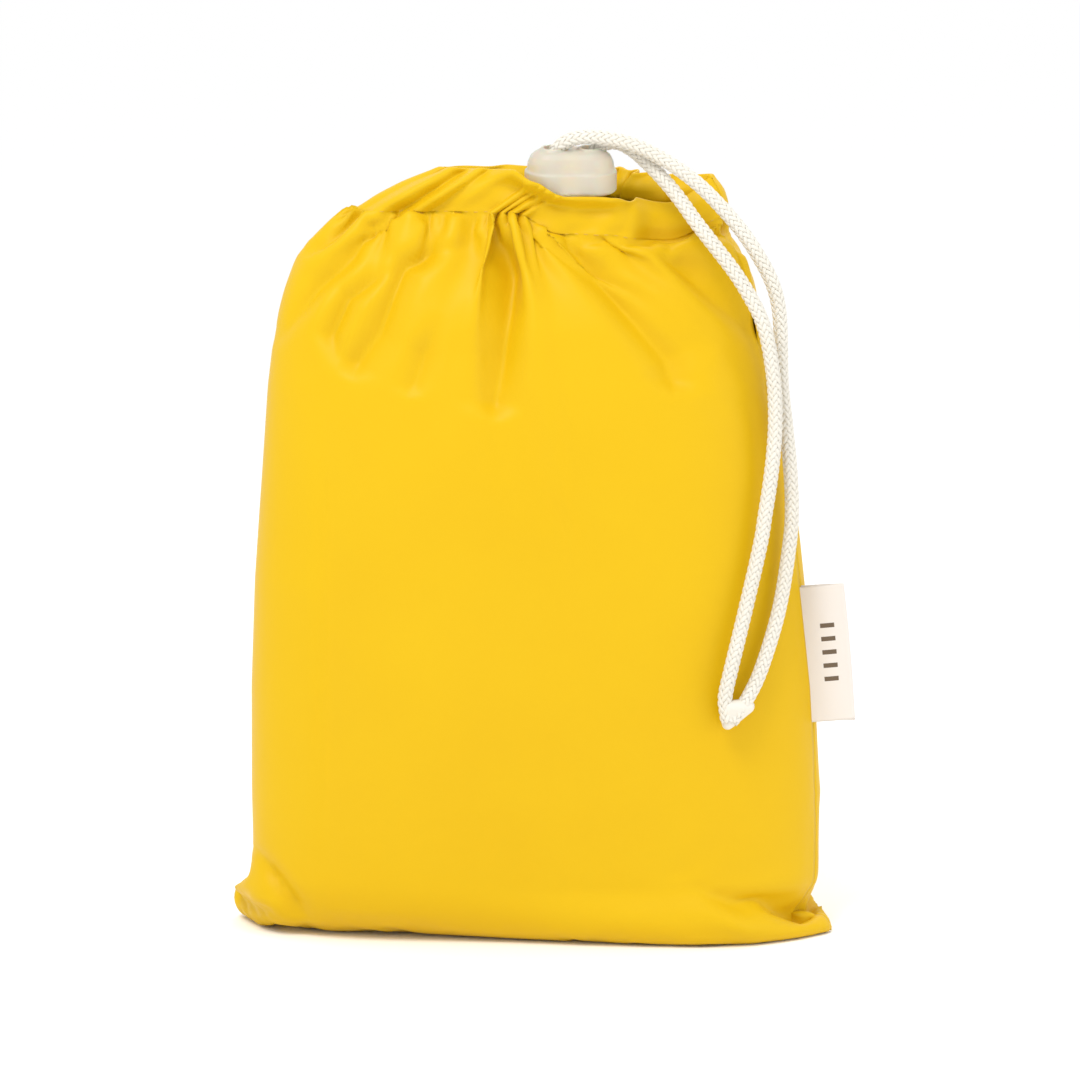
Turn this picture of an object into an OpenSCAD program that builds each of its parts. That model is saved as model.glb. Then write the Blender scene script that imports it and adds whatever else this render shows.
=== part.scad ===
// Small drawstring pouch, standing filled, with a two-hole cord stopper and a ribbon label.
// Front is -Y, up is +Z, and the origin is the middle of the base.

/* [Pouch] */
// Scale of the pouch's depth, front to back
depth_factor = 1; // [0.95:0.01:1.05]
// Thickness that stands for the cloth
wall = 1.6; // [1.2:0.1:2]
// Angle round the section by which the side seams are turned off the sides
seam_turn = 11; // [8:1:14]
// Width of a seam, as an angle round the section
seam_span = 4; // [3:0.5:5]

/* [Casing] */
// Thickness of the cord casing, outside to inside
casing_thickness = 7; // [6.8:0.1:7.5]
// Radius of the cord tunnel in the casing
tunnel_radius = 2.6; // [2.4:0.1:2.8]
// Thickness of the thread under the casing
thread_thickness = 0.6; // [0.4:0.1:0.8]

/* [Cord] */
// Diameter of the braided cord
cord_diameter = 4.2; // [3.8:0.1:4.4]

/* [Stopper] */
// Length of the stopper across its two holes
stopper_length = 25.6; // [25:0.1:27]
// Depth of the stopper
stopper_depth = 14; // [13:0.5:14.5]
// Height of the straight flange under the dome
flange_height = 4.3; // [4:0.1:5]
// Height of the top of the dome
dome_height = 8.6; // [8.4:0.1:9]
// Height of the rims round the holes
rim_height = 9.4; // [9.2:0.1:9.8]
// Distance between the two holes
hole_spacing = 10.4; // [10:0.1:10.8]
// Radius of each hole
hole_radius = 3.1; // [3:0.1:3.2]
// Lean of the stopper towards the front
stopper_lean = 12; // [8:1:14]

/* [Label] */
// Length of the label along the seam
label_length = 38.6; // [36:0.2:40]
// Width that stands out of the seam
label_width = 12.2; // [11:0.2:13]
// Thickness of one layer of ribbon
ribbon_thickness = 0.5; // [0.4:0.1:0.6]
// Widest gap between the two layers
label_gap = 1; // [0.6:0.1:1.2]

/* [Hidden] */

cloth = [0.97, 0.78, 0.12];
cloth_shade = [0.93, 0.71, 0.08];
cord_white = [0.95, 0.94, 0.88];
frosted = [0.89, 0.84, 0.72];
ribbon_white = [0.93, 0.9, 0.86];

// Outline of the filled pouch: height, left side, right side, half depth, squareness.
SECTIONS = [
    [0, -72, 72.5, 21, 3], [1.5, -76, 75, 24, 3], [4, -78.5, 76, 26, 2.9],
    [9, -80, 76.5, 27.5, 2.8], [20, -80.5, 78.2, 28.5, 2.7], [40, -81, 78.4, 29.5, 2.6],
    [70, -81, 76.8, 30, 2.6], [100, -79.8, 73.2, 30, 2.6], [130, -77.4, 69.5, 29.5, 2.5],
    [155, -75.6, 64.5, 28, 2.5], [172, -73.5, 60, 26, 2.4], [183, -71, 58, 24, 2.4],
    [190, -68, 57, 22, 2.4], [195, -64.5, 56, 20, 2.5], [199, -59.5, 55, 18, 2.7],
    [202, -53, 54, 16, 3], [204, -46, 53, 14.5, 3.2], [216, -35, 48, 12, 3.2]];
RING_HEIGHTS = [0, 1.5, 4, 9, 20, 40, 70, 100, 130, 155, 165, 172, 178, 183, 187, 190,
                193, 195, 197, 199, 200.5, 202, 203, 204];
base_round = 9;
shoulder_top = 204;
mouth_top = 216;

// The mouth dips at the front where the stopper pulls it down, and lifts at its left end.
dip = 7.5;
dip_left = -16;
dip_right = 52;
lift = 2;
warp_from = 150;

// Angles round the section at which each piece ends.
half_span = seam_span / 2;
right_seam_angle = -seam_turn;
left_seam_angle = 180 - seam_turn;
panel_columns = 36;
seam_columns = 2;
tube_sides = 8;

// Casing profile: how far in from the skin, and how far up from the shoulder.
CASING_PROFILE = [
    [0, 0], [0, 4], [0, 8], [0.6, 11], [2, 12], [casing_thickness / 2, 12],
    [casing_thickness - 2, 12], [casing_thickness - 0.6, 11], [casing_thickness, 8],
    [casing_thickness, 4], [casing_thickness, 0.6], [3.5, 0]];

// Pocket in the front casing through which both ends of the cord rise.
outlet_from = [-7.4, -12.9, 199.9];
outlet_size = [31.6, 9.6, 12];
run_from = -101;
run_to = -426;

// Free strand routes: hand-set points from the casing to the fused end.
OUTER_ROUTE = [
    [-5.8, -9.7, 202.9], [-1.6, -9.4, 203.8], [1.3, -8.7, 206.6], [2.7, -7.9, 210.2],
    [2.8, -8.1, 213.5], [3, -8.6, 217], [4.6, -9.5, 221], [8, -10.8, 223.8],
    [13, -11.9, 224.8], [19, -12.4, 224.3], [25.6, -13, 222.7], [31.6, -13.7, 220],
    [38, -14.6, 216.2], [44.2, -15.6, 211.4], [50.4, -16.6, 205.2], [56, -17.2, 198.6],
    [60.4, -17.4, 192], [63.8, -17, 185.6], [65.8, -16.4, 179], [66.6, -15.8, 171],
    [67, -15.6, 157], [68.2, -16, 146], [69.4, -16.6, 134.6], [70, -17.6, 123],
    [69.4, -19.4, 113], [66.4, -23, 94.8], [61.4, -26.6, 78.6], [57.4, -28.6, 70.4]];
INNER_ROUTE = [
    [23, -9.7, 202.9], [18.8, -9.4, 203.8], [15.8, -8.7, 206.6], [13.4, -7.9, 210.2],
    [13, -8, 212.6], [13, -8.3, 215.2], [14.6, -8.9, 219.8], [17.6, -8, 222.6],
    [21.6, -7.2, 223], [25.6, -8, 221], [29.6, -9.6, 217.6], [33.8, -12, 213.4],
    [38.2, -14.8, 208.2], [43, -17.6, 201.6], [48.2, -20, 195], [53.6, -21.6, 188],
    [58, -22, 181], [61, -21.8, 175], [63, -21.4, 168], [64.6, -21.2, 157], [65, -21.4, 147],
    [64.6, -22, 139], [63.6, -23, 130], [62.2, -24.2, 121], [60.8, -25.4, 112.6],
    [56.6, -28.4, 94.6], [52.4, -30.6, 79], [52.2, -31, 70.4]];
join_tip = [52, -30, 63.6];
route_steps = 2;

stopper_base = [8.5, -7.5, 211.4];
flare_depth = 6;
rim_hole_radius = 5;
label_foot = [76.7, -9.6, 60.4];
label_lean = -5.3;
label_turn = -8;

// Corners that stand out past the filled body: side view outlines, across and up.
LEFT_EAR = [[-78.4, 2.6], [-79, 6], [-79.5, 21], [-80.4, 21], [-83, 15.5], [-85.6, 11], [-86, 8],
            [-84.8, 4.6], [-80.5, 2.4]];
RIGHT_EAR = [[74.2, 2.2], [74.7, 5], [74.9, 10.3], [76.5, 10.6], [79.4, 7.6], [80.9, 5], [80.2, 1.8],
             [78, 1]];
ear_thickness = 1.2;

// Value of one column of SECTIONS at a height.
function at(z, column) = lookup(z, [for (s = SECTIONS) [s[0], s[column]]]);
function smooth(t) = t <= 0 ? 0 : t >= 1 ? 1 : t * t * (3 - 2 * t);
function power(v, e) = sign(v) * pow(abs(v), e);
function unit(v) = v / norm(v);
function spread(from, to, count) = [for (i = [0:count]) from + (to - from) * i / count];

// Moves a point of the mouth up or down.
function warp(p) =
    let (top = smooth((p[2] - warp_from) / (shoulder_top - warp_from)),
         front = smooth(-p[1] / 6),
         middle = smooth((p[0] - dip_left) / 12) * smooth((dip_right - p[0]) / 16),
         left = smooth((10 - p[0]) / 45))
    [p[0], p[1], p[2] + top * (lift * left - dip * front * middle)];

// A point of the pouch at a height and an angle round its section, moved in by an inset.
function skin(z, angle, inset) =
    let (left = at(z, 1), right = at(z, 2), e = 2 / at(z, 4),
         across = (right - left) / 2 - inset,
         deep = at(z, 3) * depth_factor - inset)
    warp([(left + right) / 2 + across * power(cos(angle), e), deep * power(sin(angle), e), z]);

// The inner face stands above the base, and drops a little under the flat shoulder, so that the
// wall keeps its thickness in both places.
function inner_skin(z, angle) =
    let (raised = z < base_round ? wall + z * (base_round - wall) / base_round : z,
         p = skin(raised, angle, wall),
         drop = wall * smooth((z - 183) / 12) * (1 - smooth((z - 202) / 2)))
    [p[0], p[1], p[2] - drop];

// Closed solid through a list of loops that have the same number of points.
module swept_loops(loops) {
    sides = len(loops[0]);
    last = (len(loops) - 1) * sides;
    polyhedron(
        points = [for (l = loops) each l],
        faces = concat(
            [for (i = [0:len(loops) - 2], j = [0:sides - 1])
                let (a = i * sides + j, b = i * sides + (j + 1) % sides)
                each [[a, a + sides, b + sides], [a, b + sides, b]]],
            [[for (j = [0:sides - 1]) j]],
            [[for (j = [sides - 1:-1:0]) last + j]]),
        convexity = 6);
}

// Two triangles for a four-sided patch.
function patch(a, b, c, d) = [[a, b, c], [a, c, d]];

// One sector of the pouch wall, with its share of the base, between two angles.
module wall_sector(from, to, columns) {
    angles = spread(from, to, columns);
    top = len(RING_HEIGHTS) - 1;
    row = columns + 1;
    inner = (top + 1) * row;
    polyhedron(
        points = concat(
            [for (z = RING_HEIGHTS, a = angles) skin(z, a, 0)],
            [for (z = RING_HEIGHTS, a = angles) inner_skin(z, a)]),
        faces = concat(
            [for (i = [0:top - 1], j = [0:columns - 1]) let (k = i * row + j) each concat(
                patch(k, k + row, k + row + 1, k + 1),
                patch(inner + k, inner + k + 1, inner + k + row + 1, inner + k + row))],
            [for (i = [0:top - 1]) let (k = i * row, m = k + columns) each concat(
                patch(k, inner + k, inner + k + row, k + row),
                patch(m, m + row, inner + m + row, inner + m))],
            [for (j = [0:columns - 1]) let (k = top * row + j) each
                patch(k, inner + k, inner + k + 1, k + 1)],
            [[for (j = [0:columns]) j]],
            [[for (j = [columns:-1:0]) inner + j]],
            patch(0, columns, inner + columns, inner)),
        convexity = 10);
}

// A sewn corner of the pouch, flat in the plane of its seam.
module ear(angle, outline) {
    middle = skin(9, angle, 0);
    translate([0, middle[1] + ear_thickness / 2, 0])
    rotate([90, 0, 0])
    linear_extrude(ear_thickness)
    polygon(outline);
}

// A stretch of the casing between two angles, with its cord tunnel.
function casing_loop(angle) =
    [for (q = CASING_PROFILE) skin(shoulder_top + q[1], angle, q[0])];

function tunnel_centre(angle) =
    skin((shoulder_top + mouth_top) / 2, angle, casing_thickness / 2);

function tunnel_loop(angle, radius, sides) =
    let (middle = tunnel_centre(angle),
         along = unit(tunnel_centre(angle + 1) - tunnel_centre(angle - 1)),
         out = unit(cross(along, [0, 0, 1])),
         up = cross(out, along))
    [for (k = [0:sides - 1]) let (a = 360 * k / sides - 60)
        middle + radius * (cos(a) * out + sin(a) * up)];

module casing(from, to) {
    angles = spread(from, to, panel_columns);
    sides = len(CASING_PROFILE);
    tunnel = len(angles) * sides;
    last = (len(angles) - 1) * sides;
    polyhedron(
        points = concat(
            [for (a = angles) each casing_loop(a)],
            [for (a = angles) each tunnel_loop(a, tunnel_radius, sides)]),
        faces = concat(
            [for (i = [0:panel_columns - 1], j = [0:sides - 1])
                let (a = i * sides + j, b = i * sides + (j + 1) % sides) each concat(
                patch(a, b, b + sides, a + sides),
                patch(tunnel + a, tunnel + a + sides, tunnel + b + sides, tunnel + b))],
            [for (j = [0:sides - 1]) let (k = (j + 1) % sides) each concat(
                patch(j, tunnel + j, tunnel + k, k),
                patch(last + j, last + k, tunnel + last + k, tunnel + last + j))]),
        convexity = 10);
}

// The thread line under the casing, lying on the skin.
function thread_loop(angle) =
    let (low = skin(shoulder_top, angle, 0), high = skin(shoulder_top + thread_thickness, angle, 0),
         far_low = skin(shoulder_top, angle, -thread_thickness),
         far_high = skin(shoulder_top + thread_thickness, angle, -thread_thickness))
    [low, high, far_high, far_low];

// Smooth curve through a route's points.
function between(a, b, c, d, t) =
    0.5 * (2 * b + (c - a) * t + (2 * a - 5 * b + 4 * c - d) * t * t
           + (3 * b - a - 3 * c + d) * t * t * t);
function smoothed(route, steps) =
    let (last = len(route) - 1)
    concat(
        [for (i = [0:last - 1], k = [0:steps - 1])
            between(route[max(i - 1, 0)], route[i], route[i + 1], route[min(i + 2, last)], k / steps)],
        [route[last]]);

// A round tube along a route, its rings turned as little as possible from one to the next.
function heading(route, i) = unit(route[min(i + 1, len(route) - 1)] - route[max(i - 1, 0)]);
function sides_along(route, i, side) =
    i == len(route) ? [] :
    let (h = heading(route, i), s = unit(side - (side * h) * h))
    concat([s], sides_along(route, i + 1, s));

module cord(route) {
    path = smoothed(route, route_steps);
    sides = sides_along(path, 0, [0.1, 1, 0.2]);
    radius = cord_diameter / 2;
    color(cord_white)
    swept_loops([
        for (i = [0:len(path) - 1])
        let (h = heading(path, i), s = sides[i], t = cross(h, s))
        [for (k = [0:tube_sides - 1]) let (a = 360 * k / tube_sides)
            path[i] + radius * (cos(a) * s + sin(a) * t)]]);
}

module front_panel() {
    color(cloth)
    wall_sector(left_seam_angle - 360 + half_span, right_seam_angle - half_span, panel_columns);
}

module back_panel() {
    color(cloth)
    wall_sector(right_seam_angle + half_span, left_seam_angle - half_span, panel_columns);
}

module left_seam() {
    color(cloth_shade) {
        wall_sector(left_seam_angle - half_span, left_seam_angle + half_span, seam_columns);
        ear(left_seam_angle, LEFT_EAR);
    }
}

module right_seam() {
    color(cloth_shade) {
        wall_sector(right_seam_angle - half_span, right_seam_angle + half_span, seam_columns);
        ear(right_seam_angle, RIGHT_EAR);
    }
}

// The strip of the base between the two panels.
module bottom_seam() {
    ends = [left_seam_angle + half_span, right_seam_angle - half_span,
            right_seam_angle + half_span, left_seam_angle - half_span];
    color(cloth_shade)
    swept_loops([[for (a = ends) skin(0, a, 0)], [for (a = ends) inner_skin(0, a)]]);
}

// The front casing is open on top where the two ends of the cord rise out of it.
module front_casing() {
    color(cloth)
    difference() {
        casing(left_seam_angle - 360, right_seam_angle);
        translate(outlet_from)
            cube(outlet_size);
    }
}

module back_casing() {
    color(cloth)
    casing(right_seam_angle, left_seam_angle);
}

module casing_stitching() {
    color(cloth_shade) {
        swept_loops([for (a = spread(-180, 0, panel_columns)) thread_loop(a)]);
        swept_loops([for (a = spread(0, 180, panel_columns)) thread_loop(a)]);
    }
}

module cord_casing_run() {
    color(cord_white)
    swept_loops([for (a = spread(run_from, run_to, 2 * panel_columns))
        tunnel_loop(a, cord_diameter / 2, tube_sides)]);
}

// Two-hole stopper: straight flange, low dome, and a raised rim round each hole.
module cord_stopper() {
    end = stopper_length / 2 - stopper_depth / 2;
    color(frosted)
    translate(stopper_base)
    rotate([stopper_lean, 0, 0])
    difference() {
        union() {
            hull()
            for (x = [-end, end]) {
                translate([x, 0, 0])
                    cylinder(h = flange_height, r = stopper_depth / 2, $fn = 48);
                translate([x * 0.75, 0, dome_height - 3])
                    scale([1, 1, 0.6])
                        sphere(r = 5, $fn = 32);
            }
            for (x = [-1, 1])
            translate([x * hole_spacing / 2, 0, flange_height])
                cylinder(h = rim_height - flange_height, r1 = 5.8, r2 = 5.1, $fn = 48);
        }
        for (x = [-1, 1])
        translate([x * hole_spacing / 2, 0, 0]) {
            translate([0, 0, -1])
                cylinder(h = rim_height + 2, r = hole_radius, $fn = 48);
            translate([0, 0, rim_height - flare_depth])
                cylinder(h = flare_depth + 0.01, r1 = hole_radius, r2 = rim_hole_radius, $fn = 48);
        }
    }
}

module outer_strand() cord(OUTER_ROUTE);

module inner_strand() cord(INNER_ROUTE);

// The two ends fused together and drawn to a blunt point.
module cord_join() {
    ends = [OUTER_ROUTE[len(OUTER_ROUTE) - 1], INNER_ROUTE[len(INNER_ROUTE) - 1]];
    color(cord_white)
    hull() {
        for (e = ends)
        translate([e[0], e[1], e[2] - cord_diameter / 2])
            sphere(r = cord_diameter / 2, $fn = 24);
        translate(join_tip)
            sphere(r = cord_diameter * 0.4, $fn = 24);
    }
}

// Ribbon folded double: two layers joined at the seam and at the fold, a little apart between.
module label_ribbon() {
    stops = spread(0, label_width, 16);
    function half_gap(x) = label_gap / 2 * sin(180 * x / label_width);
    color(ribbon_white)
    translate(label_foot)
    rotate([0, label_lean, 0])
    rotate([0, 0, label_turn])
    linear_extrude(label_length)
    difference() {
        polygon(concat(
            [for (x = stops) [x, half_gap(x) + ribbon_thickness]],
            [for (x = stops) [label_width - x, -half_gap(x) - ribbon_thickness]]));
        polygon(concat(
            [for (x = stops) [ribbon_thickness + x * 0.92, half_gap(x)]],
            [for (x = stops) [ribbon_thickness + (label_width - x) * 0.92, -half_gap(x)]]));
    }
}

front_panel();
back_panel();
left_seam();
right_seam();
bottom_seam();
front_casing();
back_casing();
casing_stitching();
cord_casing_run();
cord_stopper();
outer_strand();
inner_strand();
cord_join();
label_ribbon();
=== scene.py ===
import math

import bpy
import numpy as np
from mathutils import Matrix, Vector


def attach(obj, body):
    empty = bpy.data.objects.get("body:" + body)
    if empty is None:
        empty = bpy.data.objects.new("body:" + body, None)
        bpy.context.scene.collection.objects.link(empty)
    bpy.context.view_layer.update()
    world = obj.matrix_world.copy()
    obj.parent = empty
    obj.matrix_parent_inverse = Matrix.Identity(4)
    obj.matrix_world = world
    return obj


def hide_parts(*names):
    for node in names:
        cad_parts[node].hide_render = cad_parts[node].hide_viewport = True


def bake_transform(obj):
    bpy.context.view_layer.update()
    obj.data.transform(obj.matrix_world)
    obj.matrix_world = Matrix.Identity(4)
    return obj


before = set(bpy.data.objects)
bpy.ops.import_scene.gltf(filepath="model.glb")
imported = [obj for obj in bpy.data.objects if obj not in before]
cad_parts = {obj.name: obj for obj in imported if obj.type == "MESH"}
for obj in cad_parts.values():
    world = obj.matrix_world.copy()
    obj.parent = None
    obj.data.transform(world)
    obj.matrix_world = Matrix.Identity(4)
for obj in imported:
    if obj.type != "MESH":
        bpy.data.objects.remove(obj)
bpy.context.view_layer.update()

MM = 0.001
SQUARE = ((-1, -1), (1, -1), (1, 1), (-1, 1))

# Camera: a long lens a little above the pouch, level with its middle.
CAMERA_AIM = (0, -10 * MM, 112.2 * MM)
CAMERA_DISTANCE = 1.2
CAMERA_ELEVATION = math.radians(8)
SEEN_WIDTH = 302.4 * MM
SENSOR_WIDTH = 36


def add_object(name, data):
    obj = bpy.data.objects.new(name, data)
    bpy.context.scene.collection.objects.link(obj)
    return obj


def add_camera():
    data = bpy.data.cameras.new("camera")
    data.sensor_width = SENSOR_WIDTH
    data.lens = SENSOR_WIDTH * CAMERA_DISTANCE / SEEN_WIDTH
    data.clip_start = 0.05
    camera = add_object("camera", data)
    aim = Vector(CAMERA_AIM)
    back = Vector((0, -math.cos(CAMERA_ELEVATION), math.sin(CAMERA_ELEVATION)))
    camera.location = aim + CAMERA_DISTANCE * back
    camera.rotation_euler = (-back).to_track_quat("-Z", "Y").to_euler()
    bpy.context.scene.camera = camera


def new_object(name, vertices, faces, shaded_smooth=True):
    mesh = bpy.data.meshes.new(name)
    mesh.from_pydata([tuple(v) for v in vertices], [], [tuple(f) for f in faces])
    mesh.update()
    if shaded_smooth:
        mesh.shade_smooth()
    return add_object(name, mesh)


def add_modifier(obj, kind, **settings):
    modifier = obj.modifiers.new(kind.lower(), kind)
    for key, value in settings.items():
        setattr(modifier, key, value)
    return modifier


def smooth(t):
    t = np.clip(t, 0, 1)
    return t * t * (3 - 2 * t)


def unit(vectors):
    return vectors / np.linalg.norm(vectors, axis=1)[:, None]


def circle(count):
    """Even angles of one full turn."""
    return np.linspace(0, 2 * math.pi, count, endpoint=False)


def distances(line):
    """How far along a line of points each of them lies."""
    return np.concatenate([[0], np.cumsum(np.linalg.norm(np.diff(line, axis=0), axis=1))])


def points_at(stops, along, line):
    """The points at the given stops on a line whose own points lie at the distances along it."""
    return np.stack([np.interp(stops, along, line[:, k]) for k in range(3)], axis=1)


# Cord routes in mm, as in the CAD model: out of the casing, up through the stopper and down to the
# join. Then the braid: its yarns' count, pitch and section, and how far they swing in and out.
OUTER_ROUTE = [
    (2.8, -2.7, 185.9), (2.8, -4, 192), (2.8, -5.3, 198.1), (2.8, -6.6, 204.1), (2.8, -7.9, 210.2),
    (2.8, -8.1, 213.5), (3, -8.6, 217), (4.6, -9.5, 221), (8, -10.8, 223.8), (13, -11.9, 224.8),
    (19, -12.4, 224.3), (25.6, -13, 222.7), (31.6, -13.7, 220), (38, -14.6, 216.2),
    (44.2, -15.6, 211.4), (50.4, -16.6, 205.2), (56, -17.2, 198.6), (60.4, -17.4, 192),
    (63.8, -17, 185.6), (65.8, -16.4, 179), (66.6, -15.8, 171), (67, -15.6, 157),
    (68.2, -16, 146), (69.4, -16.6, 134.6), (70, -17.6, 123), (69.4, -19.4, 113),
    (66.4, -23, 94.8), (61.4, -26.6, 78.6), (57.4, -28.8, 70.4),
    (54.6, -29.8, 66.4), (53, -30.2, 64.4)]
INNER_ROUTE = [
    (13, -2.7, 185.9), (13, -4, 192), (13, -5.3, 198.1), (13, -6.6, 204.1), (13, -7.9, 210.2),
    (13, -8.3, 212.6), (13, -8.6, 215.2), (14.6, -8.9, 219.8), (17.6, -8, 222.6),
    (21.6, -7.2, 223), (25.6, -8, 221), (29.6, -9.6, 217.6), (33.8, -12, 213.4),
    (38.2, -14.8, 208.2), (43, -17.6, 201.6), (48.2, -20, 195), (53.6, -21.6, 188),
    (58, -22, 181), (61, -21.8, 175), (63, -21.4, 168), (64.6, -21.2, 157), (65, -21.4, 147),
    (64.6, -22, 139), (63.6, -23, 130), (62.2, -24.2, 121), (60.8, -25.4, 112.6),
    (56.6, -28.4, 94.6), (52.8, -30.6, 79), (51.2, -31, 71.4), (51.6, -30.8, 66.8), (52, -30.6, 64.4)]
CORD_DIAMETER = 4.2 * MM
CORD_STEP = 0.5 * MM
CARRIERS = 8
LAY_LENGTH = 16 * MM
YARN_HALF_WIDTH = 0.6 * MM
YARN_HALF_THICKNESS = 0.34 * MM
YARN_SWING = 0.26 * MM
YARN_STEP = 1.6
YARN_SIDES = 6
CORE_RADIUS = 1.4 * MM
CORE_SIDES = 12


def curve_through(points):
    """A Catmull-Rom curve through the points, resampled at an even step, and the distance of each."""
    p = np.array(points, float)
    p = np.vstack([2 * p[0] - p[1], p, 2 * p[-1] - p[-2]])
    t = np.linspace(0, 1, 40, endpoint=False)[:, None]
    fine = []
    for a, b, c, d in zip(p[:-3], p[1:-2], p[2:-1], p[3:]):
        fine.append(0.5 * (2 * b + (c - a) * t + (2 * a - 5 * b + 4 * c - d) * t**2
                           + (3 * b - a - 3 * c + d) * t**3))
    fine = np.vstack(fine + [p[-2:-1]])
    along = distances(fine)
    stops = np.linspace(0, along[-1], int(round(along[-1] / CORD_STEP)) + 1)
    return points_at(stops, along, fine), stops


def frames_along(path):
    """Tangent, side and up at each point, turned as little as possible from one to the next."""
    tangent = unit(np.gradient(path, axis=0))
    side = np.zeros_like(path)
    s = np.array([0.1, 1, 0.2])
    for i, h in enumerate(tangent):
        s = s - s.dot(h) * h
        s /= np.linalg.norm(s)
        side[i] = s
    return tangent, side, np.cross(tangent, side)


def tube_faces(rings, sides, first=0):
    faces = []
    for i in range(rings - 1):
        for j in range(sides):
            a = first + i * sides + j
            b = first + i * sides + (j + 1) % sides
            faces.append((a, b, b + sides, a + sides))
    faces.append(tuple(first + j for j in reversed(range(sides))))
    faces.append(tuple(first + (rings - 1) * sides + j for j in range(sides)))
    return faces


def grid_faces(rows, columns):
    faces = []
    for j in range(rows - 1):
        for i in range(columns - 1):
            a = j * columns + i
            faces.append((a, a + 1, a + columns + 1, a + columns))
    return faces


def round_tube(path, side, up, radius, sides):
    """Rings of points round a path."""
    ring = [path + radius * (math.cos(a) * side + math.sin(a) * up) for a in circle(sides)]
    return np.stack(ring, axis=1)


def join_tubes(name, tubes):
    """One object from several tubes, each an array of rings of points."""
    faces = []
    first = 0
    for tube in tubes:
        rings, sides = tube.shape[:2]
        faces += tube_faces(rings, sides, first)
        first += rings * sides
    return new_object(name, np.vstack([tube.reshape(-1, 3) for tube in tubes]), faces)


def yarn_tube(path, frames, s, way, number):
    """One flat yarn of the braid. way is 1 or -1, for the two ways that the yarns are wound."""
    tangent, side, up = frames
    middle = CORD_DIAMETER / 2 - YARN_HALF_THICKNESS - YARN_SWING
    angle = 2 * math.pi * (way * (s / LAY_LENGTH) + number / CARRIERS)
    # The two windings are half a wave apart, so that one is over where the other is under.
    column = way * (s / (LAY_LENGTH / (2 * CARRIERS))) + 2 * number
    wave = np.cos(2 * math.pi * (column - (0.5 if way > 0 else 2.5)) / 4)
    radius = middle + YARN_SWING * np.tanh(YARN_STEP * wave) / math.tanh(YARN_STEP)
    out = np.cos(angle)[:, None] * side + np.sin(angle)[:, None] * up
    centre = path + radius[:, None] * out
    around = -np.sin(angle)[:, None] * side + np.cos(angle)[:, None] * up
    slope = way * 2 * math.pi * middle / LAY_LENGTH
    across = unit(around - slope * tangent)
    ring = []
    for j in range(YARN_SIDES):
        a = 2 * math.pi * j / YARN_SIDES
        ring.append(centre + YARN_HALF_WIDTH * math.cos(a) * across
                    + YARN_HALF_THICKNESS * math.sin(a) * out)
    return np.stack(ring, axis=1)


def braided_cord(name, route):
    """A cord of two sets of flat yarns wound opposite ways, each passing over two and under two.
    Returns it with its path and its length."""
    path, s = curve_through(np.array(route) * MM)
    frames = frames_along(path)
    tubes = [yarn_tube(path, frames, s, way, number) for way in (1, -1) for number in range(CARRIERS)]
    tubes.append(round_tube(path, *frames[1:], CORE_RADIUS, CORE_SIDES))
    return join_tubes(name, tubes), path, s[-1]


# The pouch's shape: height, left and right edges, half depth and squareness of each level, in mm.
SECTIONS = np.array([
    (0, -72, 72.5, 21, 3), (1.5, -76, 75, 24, 3), (4, -78.5, 76, 26, 2.9), (9, -80, 76.5, 27.5, 2.8),
    (20, -80.5, 78.2, 28.5, 2.7), (40, -81, 78.4, 29.5, 2.6), (70, -81, 76.8, 30, 2.6),
    (100, -79.8, 73.2, 30, 2.6), (130, -77.4, 69.5, 29.5, 2.5), (155, -75.6, 64.5, 28, 2.5),
    (172, -73.5, 60.5, 26, 2.4), (183, -71.5, 58.5, 24, 2.4), (190, -70, 56.5, 22, 2.4),
    (195, -67.5, 56, 20, 2.5), (199, -64, 55, 18, 2.7), (202, -59, 54.5, 16, 3),
    (204, -52.5, 54, 14.5, 3.2), (216, -29, 50, 12, 3.2)])

# Where the right seam lies round the outline, in degrees, then in mm the dips of the mouth's front,
# the heights of the gathers' start, the stitches and the rim, and the casing's place.
SEAM_ANGLE = -15
MOUTH_DIP = 6
MOUTH_NOTCH = 2
RIGHT_DIP = 1.6
STOPPER_DIP = 1.4
RIGHT_DROP = 2
GATHERED_FROM = 140
STITCH_Z = 204
MOUTH_Z = 215.6
STITCH_PULL = 1.5
CASING_MIDDLE = 3.5

# Cloth: a panel's width and height from the bottom seam to the stitches in mm, the grid's columns
# and rows, and the cloth's thickness in metres.
CUT_WIDTH = 191
CUT_HEIGHT = 234
PANEL_COLUMNS = 74
BODY_ROWS = 90
CLOTH_THICKNESS = 0.3 * MM

# The bottom corners that stand out: side, reach and height in mm.
EARS = ((1, 10, 7), (-1, 14, 12))

# Share of a panel's width against share of the mouth that it is drawn to, and the casing's pleats,
# each one's width and half height in mm.
FRONT_SPREAD = ((0, 0), (0.175, 0.29), (0.37, 0.51), (0.6, 0.61), (0.7, 0.74), (1, 1))
BACK_SPREAD = ((0, 0), (0.2, 0.2), (0.45, 0.42), (0.7, 0.7), (1, 1))
FRONT_PLEATS = ((33, 0.4), (18, 0.9), (19, 1.1), (9, 1.2), (14, 2.4), (7, 1.3), (14, 2.6),
                (19, 0.9), (16, 1.6), (23, 1.9), (19, 1.1))
BACK_PLEATS = ((26, 0.7), (19, 1.3), (14, 1.8), (17, 2.2), (11, 1.8), (16, 2.2), (13, 1.8), (17, 2),
               (24, 1.4), (34, 0.9))

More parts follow.
